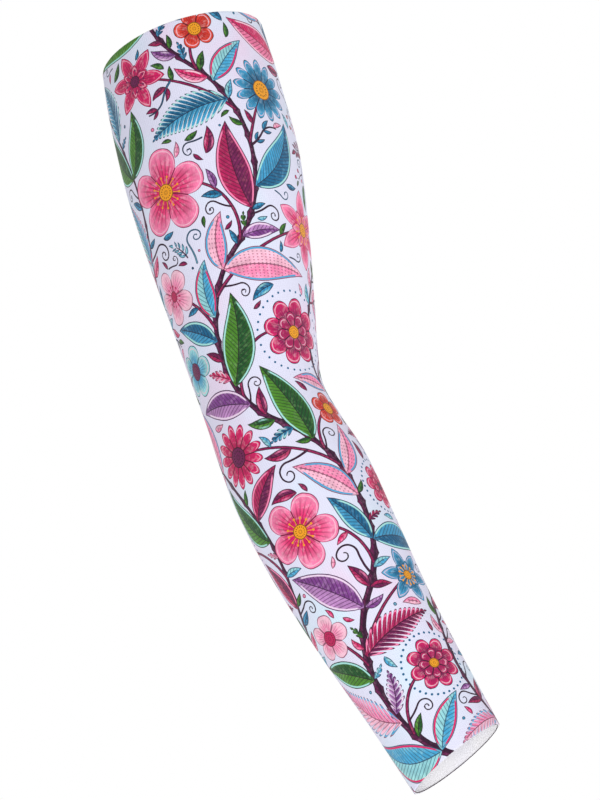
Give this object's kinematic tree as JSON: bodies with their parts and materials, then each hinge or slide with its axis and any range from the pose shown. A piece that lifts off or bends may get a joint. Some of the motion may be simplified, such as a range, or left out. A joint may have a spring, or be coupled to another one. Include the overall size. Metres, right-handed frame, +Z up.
{
  "type": "cycling arm sleeve",
  "caption": "Slim knitted arm sleeve in its worn form: a printed stretch tube from upper arm to wrist, bent a little at the elbow and open at both ends.",
  "frame": {"origin": "middle of the upper opening, where the upper arm goes in", "axes": "+Z up along the upper arm, +X the way the forearm bends, +Y the back, where the seam is"},
  "size_m": [0.14, 0.1044, 0.4436],
  "materials": {
    "printed_knit": "matt stretch knit, pale lavender ground with a bright floral print",
    "seam_thread": "matt pale flatlock thread",
    "edge_thread": "matt dark grey-brown thread"
  },
  "bodies": {
    "root": {"sleeve_tube": "printed_knit", "back_seam": "seam_thread", "wrist_edge": "edge_thread"}
  },
  "joints": []
}
